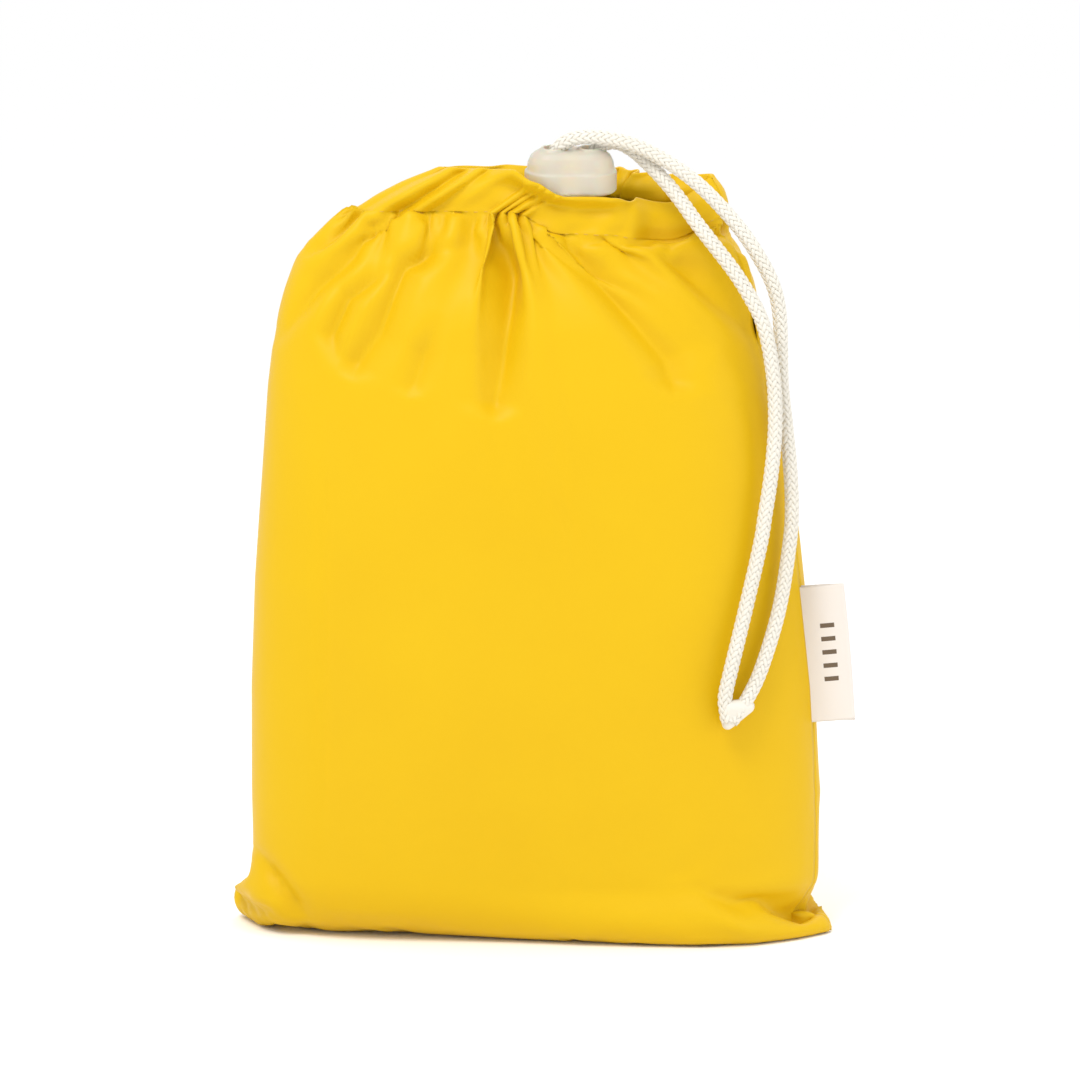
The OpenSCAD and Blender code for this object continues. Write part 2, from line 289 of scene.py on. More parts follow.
# Deep folds: place across the panel, half width, depth in mm, height of the lower tip.
FRONT_FOLDS = ((0.27, 0.09, 6, 168), (0.42, 0.09, -3, 176), (0.54, 0.08, 9, 166),
               (0.64, 0.07, -3, 178), (0.75, 0.08, 6, 172))
BACK_FOLDS = ((0.15, 0.1, 5, 165), (0.36, 0.09, 7, 150), (0.5, 0.07, -4, 165),
              (0.62, 0.1, 8, 156), (0.86, 0.09, 6, 160))

# Creases pressed into the front where the drawn-up cloth folds, each a line of points: across,
# height, depth, and how far its slopes reach to the left and to the right, in mm.
CREASES = (
    ((-10.5, 199, 3, 5, 4), (-8.5, 188, 6.5, 9, 6), (-8.6, 179, 7, 14, 7), (-10, 165, 6, 18, 8),
     (-12, 152.5, 4, 14, 9), (-12.4, 148, 0, 9, 6)),
    ((3.5, 199, 1, 4, 7), (9, 194, 2.6, 5, 10), (15, 188, 4.4, 7, 14), (23, 179, 5.4, 8, 17),
     (35, 165, 4.5, 10, 18), (37, 158, 3.2, 10, 12), (36.5, 154, 0, 7, 8)),
    ((24, 200, 1.5, 3, 9), (41, 187, 3.4, 5, 14), (58, 172, 1.4, 6, 8), (62, 168, 0, 5, 6)),
    ((-14, 199, 2.5, 5, 3), (-25, 195.5, 5, 7, 5), (-38, 191, 5, 7, 8), (-45, 172, 4.4, 10, 11),
     (-51.5, 163, 3.8, 8, 9), (-53.5, 159, 0, 6, 6)),
    ((-40, 190, 2, 5, 6), (-54, 182, 4.4, 5, 9), (-58.5, 171, 3.6, 5, 9), (-55, 161.5, 0, 5, 6)),
    ((-27, 177, 0, 5, 5), (-32, 166, 2.8, 8, 7), (-35, 157, 2, 7, 6), (-35, 154, 0, 5, 5)),
    ((-46, 196, 1, 4, 4), (-62, 184, 3, 6, 6), (-72, 170, 1.2, 5, 5), (-74, 165, 0, 4, 4)),
    ((-81, 25, 0, 3, 5), (-76, 18, 2.6, 3, 6), (-70, 10, 3.2, 4, 7), (-65, 3, 0, 4, 5)),
    ((-59, 152, 0, 5, 14), (-59.5, 130, 0.8, 5, 16), (-60, 60, 0.9, 5, 16), (-61, 15, 0, 5, 12)))


def outline(z):
    """Middle, half width, half depth and squareness of the pouch at height z."""
    left, right, deep, power = (np.interp(z, SECTIONS[:, 0], SECTIONS[:, k]) for k in (1, 2, 3, 4))
    return (left + right) / 2, (right - left) / 2, deep, power


def section_points(z, angles):
    """Points of the pouch's outline at height z, for angles measured from its right edge. Towards
    the mouth its front dips, and it is drawn flat at both ends."""
    middle, half, deep, power = outline(z)
    c, s = np.cos(angles), np.sin(angles)
    x = middle + half * np.sign(c) * np.abs(c) ** (2 / power)
    y = deep * np.sign(s) * np.abs(s) ** (2 / power)
    near_mouth = smooth((z - 150) / 54)
    front = smooth(-y / 6) * smooth((x + 7) / 12) * smooth((52 - x) / 16)
    low_rim = MOUTH_NOTCH * np.exp(-((x - 24.5) / 3) ** 2)
    low_rim = low_rim + RIGHT_DIP * smooth((x - 27) / 8) * smooth((56 - x) / 10)
    low_rim = low_rim + STOPPER_DIP * smooth((x - 1) / 6) * smooth((24 - x) / 5)
    dip = (MOUTH_DIP + low_rim * smooth((z - STITCH_Z) / 10)) * front
    dip = dip + RIGHT_DROP * smooth((x - 15) / 20)
    shut = 0.45 * smooth((x - 25) / 7) + 0.25 * smooth((-12 - x) / 9)
    y = y * (1 - shut * smooth((z - 186) / 18))
    return np.stack([x, y, z - near_mouth * dip], axis=1)


def panel_level(z, way, spread):
    """One level of a panel, from its right seam to its left one. way is -1 for front, 1 for back."""
    start = math.radians(SEAM_ANGLE)
    angles = start + way * np.linspace(0, math.pi, 721)
    points = section_points(z, angles)
    along = distances(points)
    t = np.linspace(0, 1, PANEL_COLUMNS + 1)
    drawn = np.interp(t, *zip(*spread))
    share = smooth((z - GATHERED_FROM) / (STITCH_Z - GATHERED_FROM))
    stops = along[-1] * ((1 - share) * t + share * drawn)
    return points_at(stops, along, points)


def pleat_wave(pleats):
    """The casing's pleats across a panel: their wave from -1 to 1, half height and width."""
    widths = np.array([w for w, _ in pleats], float)
    edges = np.concatenate([[0], np.cumsum(widths)]) / widths.sum()
    t = np.linspace(0, 1, PANEL_COLUMNS + 1)
    phase = np.interp(t, edges, np.arange(len(edges)))
    middles = (edges[:-1] + edges[1:]) / 2
    from_seams = np.minimum(1, np.minimum(t, 1 - t) / 0.03)
    half = np.interp(t, middles, [h for _, h in pleats]) * from_seams
    width = np.interp(t, middles, widths)
    return -np.cos(2 * math.pi * phase), half, width


def resample(columns, rows):
    """Moves the points of each column (axis 0) to even spacing along it."""
    out = np.zeros((rows + 1, columns.shape[1], 3))
    for i in range(columns.shape[1]):
        line = columns[:, i]
        along = distances(line)
        out[:, i] = points_at(np.linspace(0, along[-1], rows + 1), along, line)
    return out


def outward(grid):
    """Unit normals of a grid of points, away from the pouch's middle."""
    n = np.cross(np.gradient(grid, axis=1), np.gradient(grid, axis=0))
    n /= np.maximum(np.linalg.norm(n, axis=2), 1e-9)[..., None]
    middle = grid.mean(axis=(0, 1))
    middle = np.array([middle[0], 0, middle[2]])
    if np.sum(n * (grid - middle)) < 0:
        n = -n
    return n


def panel_grid(way, spread, pleats, folds):
    """A panel's first shape, with folds and pleats, from the bottom seam to the casing's stitches."""
    heights = np.concatenate([[0, 0.7, 1.5], np.linspace(4, STITCH_Z, 90)])
    levels = [panel_level(z, way, spread) for z in heights]
    seam = levels[0] * (1, 0, 1)
    seam[:, 1] = np.linspace(levels[0][0, 1], levels[0][-1, 1], PANEL_COLUMNS + 1)
    steps = [seam + (levels[0] - seam) * k for k in (0, 0.25, 0.5, 0.75)]
    grid = resample(np.array(steps + levels), BODY_ROWS)
    normal = outward(grid)
    z = grid[..., 2]
    t = np.linspace(0, 1, PANEL_COLUMNS + 1)[None, :]
    depth = np.zeros_like(z)
    for place, half_width, deep, tip in folds:
        climb = np.clip((z - tip) / (STITCH_Z - tip), 0, 1)
        wide = half_width * (0.2 + 0.8 * climb**0.7)
        u = np.clip(np.abs(t - place) / wide, 0, 1)
        along = smooth(climb / 0.45) * (1 - 0.75 * smooth((climb - 0.6) / 0.4))
        depth -= deep * (1 - u) ** 1.3 * (1 + 1.3 * u) * along
    wave, half, width = pleat_wave(pleats)
    below = np.clip((STITCH_Z - z) / (1.9 * width[None, :]), 0, 1)
    pleated = (0.7 * wave + 0.3) * half - STITCH_PULL
    depth += pleated[None, :] * (1 - smooth(below)) * np.clip(z / 100, 0, 1)
    shaped = grid + normal * depth[..., None]
    from_seam = np.minimum(t, 1 - t) * CUT_WIDTH
    for side, reach, height in EARS:
        near = np.where((t - 0.5) * side < 0, from_seam, 99)
        shaped[..., 0] += side * reach * np.exp(-((z - height) / height) ** 2 - (near / 10) ** 2)
    return shaped


def cut_point(across, layer, up):
    """A point of the flat cut, drawn in a little near the two bottom corners."""
    near = math.exp(-up / 13 - (CUT_WIDTH / 2 - abs(across)) / 11)
    return across - math.copysign(6 * near, across), layer, up + 9 * near


def tube_cloth(front, back):
    """One mesh of both panels, which share the seams and the bottom row. Returns its points, the
    same points on the flat cut, its faces, and the number of each panel's grid points."""
    rows, columns = BODY_ROWS + 1, PANEL_COLUMNS + 1
    points, flat = [], []
    ids = {"front": np.zeros((rows, columns), int), "back": np.zeros((rows, columns), int)}
    across = np.linspace(CUT_WIDTH / 2, -CUT_WIDTH / 2, columns)
    up = np.linspace(0, CUT_HEIGHT, rows)
    for name, panel, layer in (("front", front, 0), ("back", back, 0.5)):
        for j in range(rows):
            for i in range(columns):
                joined = j == 0 or i in (0, columns - 1)
                if joined and name == "back":
                    ids[name][j, i] = ids["front"][j, i]
                    continue
                ids[name][j, i] = len(points)
                points.append((front[j, i] + back[j, i]) / 2 if joined else panel[j, i])
                flat.append(cut_point(across[i], layer, up[j]))
    faces = []
    for name, turn in (("front", -1), ("back", 1)):
        numbers = ids[name].ravel()
        for face in grid_faces(rows, columns):
            faces.append(tuple(numbers[list(face)])[::turn])
    return np.array(points), np.array(flat, float), faces, ids


# Settling: the cloth is simulated at ten times its real size, and the first frames bring its edges
# to the flat cut's lengths.
SIM_SCALE = 0.01
CUT_FRAMES = 12
SIM_FRAMES = 30
CLOTH_CLEARANCE = 0.004
CLOTH_SETTINGS = {
    "quality": 8,
    "mass": 0.1,
    "air_damping": 3,
    "tension_stiffness": 30,
    "compression_stiffness": 30,
    "shear_stiffness": 1.5,
    "bending_stiffness": 0.7,
    "tension_damping": 8,
    "compression_damping": 8,
    "bending_damping": 0.5,
    "vertex_group_mass": "held",
    "use_dynamic_mesh": True,
    "use_sewing_springs": True,
    "sewing_force_max": 0,
    "use_pressure": True,
    "uniform_pressure_force": 0.25,
}
TABLE_HALF = 200
BOX_FACES = ((0, 3, 2, 1), (4, 5, 6, 7), (0, 1, 5, 4), (1, 2, 6, 5), (2, 3, 7, 6), (3, 0, 4, 7))

# The folded contents: height, and how far inside the pouch's sides and faces they lie, in mm.
CONTENTS_LEVELS = (
    (3, 9, 9), (5, 5, 5), (9, 3, 3), (16, 1.8, 1.8), (40, 1.3, 1.3), (120, 1.2, 1.2), (140, 1.2, 2),
    (155, 1.2, 3.5), (165, 1.2, 5), (175, 1.3, 6.5), (183, 1.5, 7.5), (190, 2, 8), (195, 4, 9.5),
    (198, 9, 12))
CONTENTS_SIDES = 96


def contents_shape():
    """The solid that fills the pouch while its cloth settles."""
    rings = []
    for z, side_gap, face_gap in CONTENTS_LEVELS:
        ring = section_points(z, circle(CONTENTS_SIDES))
        middle = (ring[:, 0].max() + ring[:, 0].min()) / 2
        ring[:, 0] = middle + (ring[:, 0] - middle) * (1 - side_gap / (ring[:, 0].max() - middle))
        ring[:, 1] *= 1 - face_gap / ring[:, 1].max()
        ring[:, 2] = z
        rings.append(ring)
    return np.vstack(rings), tube_faces(len(rings), CONTENTS_SIDES)


def add_block(name, points, faces):
    """A solid that the cloth rests against while it settles."""
    block = new_object(name, np.array(points) * SIM_SCALE, faces)
    block.modifiers.new("collision", "COLLISION")
    block.collision.thickness_outer = CLOTH_CLEARANCE
    block.collision.cloth_friction = 3
    return block


def sewn_cloth(points, flat, faces, top):
    """The cloth in its shaped form, its top edge sewn to held points that stay where they are. Its
    edges take the flat cut's lengths over the first frames."""
    count = len(points)
    sewn = [(int(v), count + k) for k, v in enumerate(top)]
    mesh = bpy.data.meshes.new("sewn_cloth")
    start = np.vstack([points, points[top]]) * SIM_SCALE
    mesh.from_pydata([tuple(v) for v in start], sewn, [tuple(int(i) for i in f) for f in faces])
    cloth = add_object("sewn_cloth", mesh)
    cloth.shape_key_add(name="shaped")
    cut = cloth.shape_key_add(name="cut")
    cut.data.foreach_set("co", (np.vstack([flat, points[top]]) * SIM_SCALE).ravel())
    for frame_number, value in ((1, 0), (1 + CUT_FRAMES, 1)):
        cut.value = value
        cut.keyframe_insert("value", frame=frame_number)
    held = cloth.vertex_groups.new(name="held")
    held.add(list(range(count, count + len(top))), 1, "REPLACE")
    return cloth


def settle_cloth(points, flat, faces, ids):
    """Lets the sewn cloth settle over the contents on a table, and returns its points."""
    top = sorted({*ids["front"][-1], *ids["back"][-1]})
    cloth = sewn_cloth(points, flat, faces, top)
    corners = [(x * TABLE_HALF, y * TABLE_HALF, z) for z in (-20, 0) for x, y in SQUARE]
    blocks = [add_block("contents", *contents_shape()), add_block("table", corners, BOX_FACES)]
    modifier = add_modifier(cloth, "CLOTH")
    for key, value in CLOTH_SETTINGS.items():
        setattr(modifier.settings, key, value)
    modifier.settings.effector_weights.gravity = 0.3
    modifier.collision_settings.distance_min = CLOTH_CLEARANCE
    modifier.collision_settings.collision_quality = 3
    modifier.point_cache.frame_start = 1
    modifier.point_cache.frame_end = SIM_FRAMES
    scene = bpy.context.scene
    for frame_number in range(1, SIM_FRAMES + 1):
        scene.frame_set(frame_number)
    settled = cloth.evaluated_get(bpy.context.evaluated_depsgraph_get()).to_mesh()
    out = np.zeros(len(settled.vertices) * 3)
    settled.vertices.foreach_get("co", out)
    for obj in (cloth, *blocks):
        bpy.data.objects.remove(obj)
    scene.frame_set(1)
    return out.reshape(-1, 3)[:len(points)] / SIM_SCALE


# The casing: a channel round the mouth for the cord, its cloth going over the rim and down inside.
CASING_STEPS = 20
CORD_ROOM = 2.4
RIM_MIDDLE = 2.8
RIM_ROUND = 0.8
HEM_THICKNESS = 0.35
LIP_REACH = 1.6
STOPPER_ROOM = 5.7

# What is done to the settled cloth, in mm and shares: its gap to the floor, the small relief taken
# out, the draw to the sections, the right seam's place, the left corner, creases, seams and cords.
FLOOR_GAP = 0.22
FRONT_CALM = 0.92
BACK_CALM = 0.3
FIT_SIZE = 1.01
FIT_SHARE = 0.85
RIGHT_SEAM_Y = -9.4
SEAM_SEARCH = 12
EAR_REACH = 4.4
EAR_HEIGHT = 8
EAR_SPREAD = 6
EAR_ROOT = -64
CREASE_ROUND = 0.07
CREASE_STEP = 0.6
SEAM_DEPTH = 0.6
MEETING_SHARES = (1, 0.7, 0.4, 0.2, 0.1)
CORD_RESTS_BELOW = 185
CORD_GAP = 0.25
CORD_REACH = 12


def shifted(grid, axis, reach, count):
    """Copies of the grid's points, count of them each, moved one by one along an axis from reach
    before its start. The grid is carried on evenly past its edges."""
    around = [(0, 0)] * 3
    around[axis] = (reach, reach)
    padded = np.pad(grid, around, mode="reflect", reflect_type="odd")
    return [np.take(padded, np.arange(i, i + count), axis=axis)
            for i in range(padded.shape[axis] - count + 1)]


def blurred(grid, reach):
    """The grid of points averaged over its neighbours, with its outer edge kept in place."""
    kernel = np.exp(-np.linspace(-2, 2, 2 * reach + 1) ** 2)
    kernel /= kernel.sum()
    for axis in (0, 1):
        copies = shifted(grid, axis, reach, grid.shape[axis])
        grid = sum(share * copy for share, copy in zip(kernel, copies))
    return grid


def fit_to_contents(grid, calm):
    """Draws the settled panel's broad form to the pouch's sections, and keeps its fine relief less
    the given share of it between the base and the gathers."""
    broad = blurred(grid, 6)
    x, y, z = broad[..., 0], broad[..., 1], broad[..., 2]
    middle, half, deep, power = outline(z)
    size = (np.abs((x - middle) / half) ** power + np.abs(y / deep) ** power) ** (1 / power)
    held = smooth((z - 5) / 12) * smooth((196 - z) / 26)
    scale = 1 + held * FIT_SHARE * (FIT_SIZE / size - 1)
    fitted = np.stack([middle + (x - middle) * scale, y * scale, z], axis=2)
    keep = 1 - calm * smooth((z - 12) / 14) * smooth((206 - z) / 30)
    return fitted + (grid - broad) * keep[..., None]


def slide_round(front, back):
    """Slides both panels round the pouch, level by level, to bring the right seam to its place."""
    last = front.shape[1] - 1
    for j in range(1, len(front) - 1):
        loop = np.vstack([front[j], back[j, ::-1][1:]])
        if loop[0, 1] < RIGHT_SEAM_Y:
            continue
        along = distances(loop)
        near = slice(SEAM_SEARCH - 1, None, -1)
        wanted = np.interp(RIGHT_SEAM_Y, loop[near, 1], along[near])
        slide = wanted * smooth(j / 8) * smooth((len(front) - 1 - j) / 24)
        for panel, stops in ((front, along[:last + 1]), (back, along[last:][::-1])):
            panel[j] = points_at((stops + slide) % along[-1], along, loop)


def draw_out_ear(grid):
    """Draws the bottom left corner out to its full reach."""
    x, z = grid[..., 0], grid[..., 2]
    level = np.exp(-((z - EAR_HEIGHT) / EAR_SPREAD) ** 2)
    grid[..., 0] -= EAR_REACH * level * smooth((EAR_ROOT - x) / 14)


def refine(grid):
    """A grid at half the spacing, on smooth curves through the points."""
    for axis in (0, 1):
        count = grid.shape[axis]
        a, b, c, d = shifted(grid, axis, 1, count - 1)
        shape = list(grid.shape)
        shape[axis] = 2 * count - 1
        finer = np.zeros(shape)
        every_other = [slice(None)] * 3
        every_other[axis] = slice(0, None, 2)
        finer[tuple(every_other)] = grid
        every_other[axis] = slice(1, None, 2)
        finer[tuple(every_other)] = (9 * (b + c) - a - d) / 16
        grid = finer
    return grid


def press_creases(grid, creases):
    """Presses each crease into a panel, sharpest along its line and fading out to both sides."""
    normal = outward(blurred(grid, 12))
    depth = np.zeros(grid.shape[:2])
    for crease in creases:
        line = np.array(crease, float)
        along = distances(line[:, :2])
        stops = np.linspace(0, along[-1], int(along[-1] / CREASE_STEP) + 1)
        x, z, deep, left, right = (np.interp(stops, along, line[:, k]) for k in range(5))
        aside = grid[..., 0, None] - x
        above = grid[..., 2, None] - z
        nearest = np.argmin(aside**2 + above**2, axis=2)
        aside = np.take_along_axis(aside, nearest[..., None], 2)[..., 0]
        above = np.take_along_axis(above, nearest[..., None], 2)[..., 0]
        run_x, run_z = np.gradient(x)[nearest], np.gradient(z)[nearest]
        on_right = aside * -run_z + above * run_x > 0
        reach = np.where(on_right, right[nearest], left[nearest])
        share = np.sqrt((aside**2 + above**2) / reach**2 + CREASE_ROUND**2) - CREASE_ROUND
        depth = np.maximum(depth, deep[nearest] * (1 - np.minimum(share, 1)) ** 2)
    depth *= smooth((STITCH_Z - MOUTH_DIP - grid[..., 2]) / 9)
    return grid - normal * depth[..., None]


def casing_rows(way, spread, pleats):
    """Rows of points that carry a panel on from its stitches, over the rim and back down inside."""
    low, high = (panel_level(z, way, spread) for z in (STITCH_Z, MOUTH_Z))
    normal = outward(np.array([low, high]))[0]
    normal[:, 2] = 0
    normal = unit(normal)
    wave, half, _ = pleat_wave(pleats)
    under_stopper = smooth((high[:, 0] + 13) / 8) * smooth((27 - high[:, 0]) / 8) * (way < 0)
    stitched = half * (0.3 + 0.7 * wave) - STITCH_PULL
    half = half * (1 - 0.75 * under_stopper)
    outer = 0.9 * half * (1 + wave) - CASING_MIDDLE + CORD_ROOM
    inner = -0.35 * half * (1 - wave) - CASING_MIDDLE - CORD_ROOM
    lip = LIP_REACH * np.exp(-((high[:, 0] - 0.5) / 5) ** 2) * (way < 0)
    rim = 0.9 * half * wave - RIM_MIDDLE + STOPPER_ROOM * under_stopper + lip
    rows = []
    for k in range(CASING_STEPS + 1):
        turn = math.radians(-90 + 360 * k / CASING_STEPS)
        climb = (1 + math.sin(turn)) / 2
        low_share, rim_share = 1 - smooth(climb / 0.35), smooth((climb - 0.66) / 0.34)
        middle_share = 1 - low_share - rim_share
        outside = low_share * stitched + middle_share * outer + rim_share * (rim + RIM_ROUND)
        inside = (low_share * (stitched - HEM_THICKNESS) + middle_share * inner
                  + rim_share * (rim - RIM_ROUND))
        facing = math.copysign(abs(math.cos(turn)) ** 0.6, math.cos(turn))
        aside = (outside + inside) / 2 + (outside - inside) / 2 * facing
        row = low + (high - low) * climb + normal * aside[:, None]
        row[:, 2] += 0.12 * half * wave * climb**2
        rows.append(row)
    return np.array(rows)


def meet_casing(grid, casing):
    """Eases the panel's last rows over to the first row of its casing."""
    gap = casing[0] - grid[-1]
    for k, share in enumerate(MEETING_SHARES):
        grid[-1 - k] += share * gap


def recess_seams(front, back):
    """Draws the seams a little into the pouch, where their stitches pull."""
    for i, beside in ((0, 1), (-1, -2)):
        inward = (front[:, beside] + back[:, beside]) / 2 - front[:, i]
        inward /= np.maximum(np.linalg.norm(inward, axis=1), 1e-6)[:, None]
        moved = front[:, i] + SEAM_DEPTH * inward
        front[:, i] = moved
        back[:, i] = moved


def press_under(grid, paths):
    """Moves the front cloth in behind the cords that lie on it."""
    for path in paths:
        low = path[path[:, 2] < CORD_RESTS_BELOW]
        for p in low[::3]:
            aside = np.hypot(grid[..., 0] - p[0], grid[..., 2] - p[2])
            slope = 0.7 * np.maximum(0, aside - 1.5)
            limit = p[1] + CORD_DIAMETER / MM / 2 + CORD_GAP - slope
            near = (aside < CORD_REACH) & (grid[..., 1] < 0)
            grid[..., 1] = np.where(near, np.maximum(grid[..., 1], limit), grid[..., 1])


def panel_sheet(name, grid, casing, way):
    """One panel as its own sheet of cloth, from the bottom seam round the casing."""
    grid = np.concatenate([grid, casing[1:]])
    rows, columns = grid.shape[:2]
    faces = [face[::-way] for face in grid_faces(rows, columns)]
    obj = new_object(name, grid.reshape(-1, 3) * MM, faces)
    rest = obj.data.attributes.new("cut", "FLOAT2", "POINT")
    across = np.linspace(0, CUT_WIDTH, columns) * MM
    up = np.arange(rows) * CUT_HEIGHT / (2 * BODY_ROWS) * MM
    rest.data.foreach_set("vector", np.stack(np.meshgrid(across, up), axis=2).ravel())
    add_modifier(obj, "SOLIDIFY", thickness=CLOTH_THICKNESS, offset=-1)
    return obj


def apply_modifiers(obj):
    """Replaces the mesh with its evaluated form."""
    evaluated = obj.evaluated_get(bpy.context.evaluated_depsgraph_get())
    mesh = bpy.data.meshes.new_from_object(evaluated)
    obj.modifiers.clear()
    obj.data = mesh
    mesh.shade_smooth()


# Stitches and the joined edges inside the seams.
STITCH_LENGTH = 2.1 * MM
STITCH_GAP = 0.7 * MM
STITCH_RADIUS = 0.22 * MM
STITCH_RISE = np.array([-0.7, 0.7, 1, 0.7, -0.7]) * STITCH_RADIUS
STITCH_TAPER = np.array([0.6, 1, 1, 1, 0.6])
EDGE_GAP = 0.5 * MM
EDGE_HALF_THICKNESS = 0.35 * MM
SIDE_EDGE_WIDTH = 6 * MM
BOTTOM_EDGE_WIDTH = 2.2 * MM


def stitches(name, lines):
    """Short rounded threads laid along each line of points, in metres."""
    pitch = STITCH_LENGTH + STITCH_GAP
    tubes = []
    for line, out in lines:
        along = distances(line)
        for k in range(int(along[-1] // pitch)):
            stops = k * pitch + STITCH_LENGTH * np.linspace(0, 1, 5)
            lift = points_at(stops, along, out)
            path = points_at(stops, along, line)
            path += lift * STITCH_RISE[:, None]
            tangent = unit(np.gradient(path, axis=0))
            side = unit(np.cross(tangent, lift))
            radius = STITCH_RADIUS * STITCH_TAPER[:, None]
            tubes.append(round_tube(path, side, np.cross(side, tangent), radius, 6))
    return join_tubes(name, tubes)


def seam_allowance(name, line, inward, width):
    """The joined edges of two panels inside the pouch, along a seam."""
    tangent = unit(np.gradient(line, axis=0))
    aside = unit(np.cross(tangent, inward)) * EDGE_HALF_THICKNESS
    near = line + inward * EDGE_GAP
    far = line + inward * width
    ring = np.stack([near + aside, near - aside, far - aside, far + aside], axis=1)
    return new_object(name, ring.reshape(-1, 3), tube_faces(len(line), 4), shaded_smooth=False)


def soften_cad_node(name, source, voxel, passes):
    """A smooth moulded form of a CAD node: remeshed finely, with its edges rounded."""
    obj = add_object(name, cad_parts[source].data.copy())
    obj.data.materials.clear()
    add_modifier(obj, "WELD", merge_threshold=0.001 * MM)
    add_modifier(obj, "REMESH", mode="VOXEL", voxel_size=voxel)
    add_modifier(obj, "SMOOTH", factor=0.5, iterations=passes)
    apply_modifiers(obj)
    return obj


# Stopper: a straight flange under a low dome with a collar round each of its two holes, in mm.
STOPPER_BASE = (8.5, -7.5, 211.4)
STOPPER_LEAN = math.radians(12)
STOPPER_LEVELS = (
    (-1.8, 12.2, 6.4), (-1.2, 12.8, 7), (4.2, 12.8, 7), (4.4, 12.2, 6.4),
    (6.6, 11.9, 6.1), (8.4, 11.1, 5.4), (9.6, 9.7, 4.4), (10.1, 8.4, 3.4))
COLLAR_LEVELS = ((4, 5), (7, 4.4), (9.4, 3.8), (10.5, 3.2), (10.8, 2.9))
HOLE_LEVELS = ((-2, 2.35), (12, 2.35))
HOLE_SPACING = 10.4


def loft(name, levels, middle=0.0, steps=64):
    """A solid of stadium-shaped levels, each given by height, half length and half depth."""
    rings = []
    for z, long, deep in levels:
        for a in circle(steps):
            end = math.copysign(max(0, long - deep), math.cos(a))
            rings.append((middle + end + deep * math.cos(a), deep * math.sin(a), z))
    return new_object(name, np.array(rings) * MM, tube_faces(len(levels), steps))


def moulded_stopper():
    """The stopper as one moulding: its collars joined on, its holes cut through, its edges rounded."""
    body = loft("stopper_moulding", STOPPER_LEVELS)
    tools = []
    steps = (("UNION", "collar", COLLAR_LEVELS), ("DIFFERENCE", "hole", HOLE_LEVELS))
    for operation, name, levels in steps:
        for side in (-1, 1):
            tool = loft(name, [(z, r, r) for z, r in levels], side * HOLE_SPACING / 2)
            tools.append((operation, tool))
    for operation, tool in tools:
        add_modifier(body, "BOOLEAN", operation=operation, object=tool, solver="EXACT")
    add_modifier(body, "REMESH", mode="VOXEL", voxel_size=0.28 * MM)
    add_modifier(body, "SMOOTH", factor=0.5, iterations=7)
    apply_modifiers(body)
    for _, tool in tools:
        bpy.data.objects.remove(tool)
    lean = Matrix.Rotation(STOPPER_LEAN, 4, "X")
    body.data.transform(Matrix.Translation(Vector(STOPPER_BASE) * MM) @ lean)
    return body


# The cord's hidden run: where it leaves and joins the front line, in mm, and its radius.
HIDDEN_FROM = -4
HIDDEN_TO = 21
HIDDEN_RADIUS = 1.5 * MM
HIDDEN_BLUR = 5


def hidden_cord(front_casing, back_casing):
    """The cord's run inside the casing, from one outlet round the mouth to the other."""
    outer_row, inner_row = CASING_STEPS // 2, 3 * CASING_STEPS // 2
    front_line = (front_casing[outer_row] + front_casing[inner_row]) / 2
    back_line = (back_casing[outer_row] + back_casing[inner_row]) / 2
    left_part = front_line[front_line[:, 0] < HIDDEN_FROM]
    right_part = front_line[front_line[:, 0] > HIDDEN_TO]
    path = np.vstack([left_part, back_line[::-1][1:], right_part[1:]]) * MM
    kernel = np.ones(HIDDEN_BLUR) / HIDDEN_BLUR
    padded = np.pad(path, ((HIDDEN_BLUR // 2, HIDDEN_BLUR // 2), (0, 0)), mode="edge")
    path = np.stack([np.convolve(padded[:, k], kernel, "valid") for k in range(3)], axis=1)
    _, side, up = frames_along(path)
    return join_tubes("casing_cord", [round_tube(path, side, up, HIDDEN_RADIUS, CORE_SIDES)])


# Label: a ribbon folded double at its free edge, its ends caught in the side seam, in mm.
LABEL_FOOT = (76.7, -9.6, 60.4)
LABEL_LEAN = math.radians(-5.3)
LABEL_TURN = math.radians(-8)
LABEL_LENGTH = 38.6
LABEL_WIDTH = 12.4
LABEL_GAP = 1.1
LABEL_ROOT = 4
FOLD_START = LABEL_WIDTH - 0.5
FOLD_RADIUS = 0.35
FOLD_REACH = 0.42
RIBBON_THICKNESS = 0.35


def ribbon_path():
    """The ribbon seen from above: out from the seam, round its fold and back. x is from the seam."""
    front = []
    for x in np.linspace(-LABEL_ROOT, FOLD_START, 24):
        out = min(1, max(0, x / LABEL_WIDTH))
        front.append((x, -FOLD_RADIUS - LABEL_GAP / 2 * math.sin(math.pi * out**1.2)))
    fold = []
    for a in np.linspace(-1.2, 1.2, 7):
        fold.append((FOLD_START + FOLD_REACH * math.cos(a), FOLD_RADIUS * math.sin(a)))
    return front + fold + [(x, -y) for x, y in reversed(front)]


def ribbon_row(path, h):
    """The ribbon's points at height share h, curled a little and with its back layer askew."""
    curl = 0.5 * math.sin(2.4 * h + 0.4) - 0.25
    bow = 0.3 * (2 * h - 1) ** 2
    row = []
    for k, (x, y) in enumerate(path):
        if k > len(path) / 2:
            z = LABEL_LENGTH * h - 0.018 * x + 0.35 * h
        else:
            z = LABEL_LENGTH * h + 0.018 * x
        out = max(0, x) / LABEL_WIDTH
        row.append((x - bow * out, y + curl * out**2, z))
    return row


def turned(a, b, angle):
    """Two coordinates turned by an angle."""
    c, s = math.cos(angle), math.sin(angle)
    return a * c - b * s, a * s + b * c


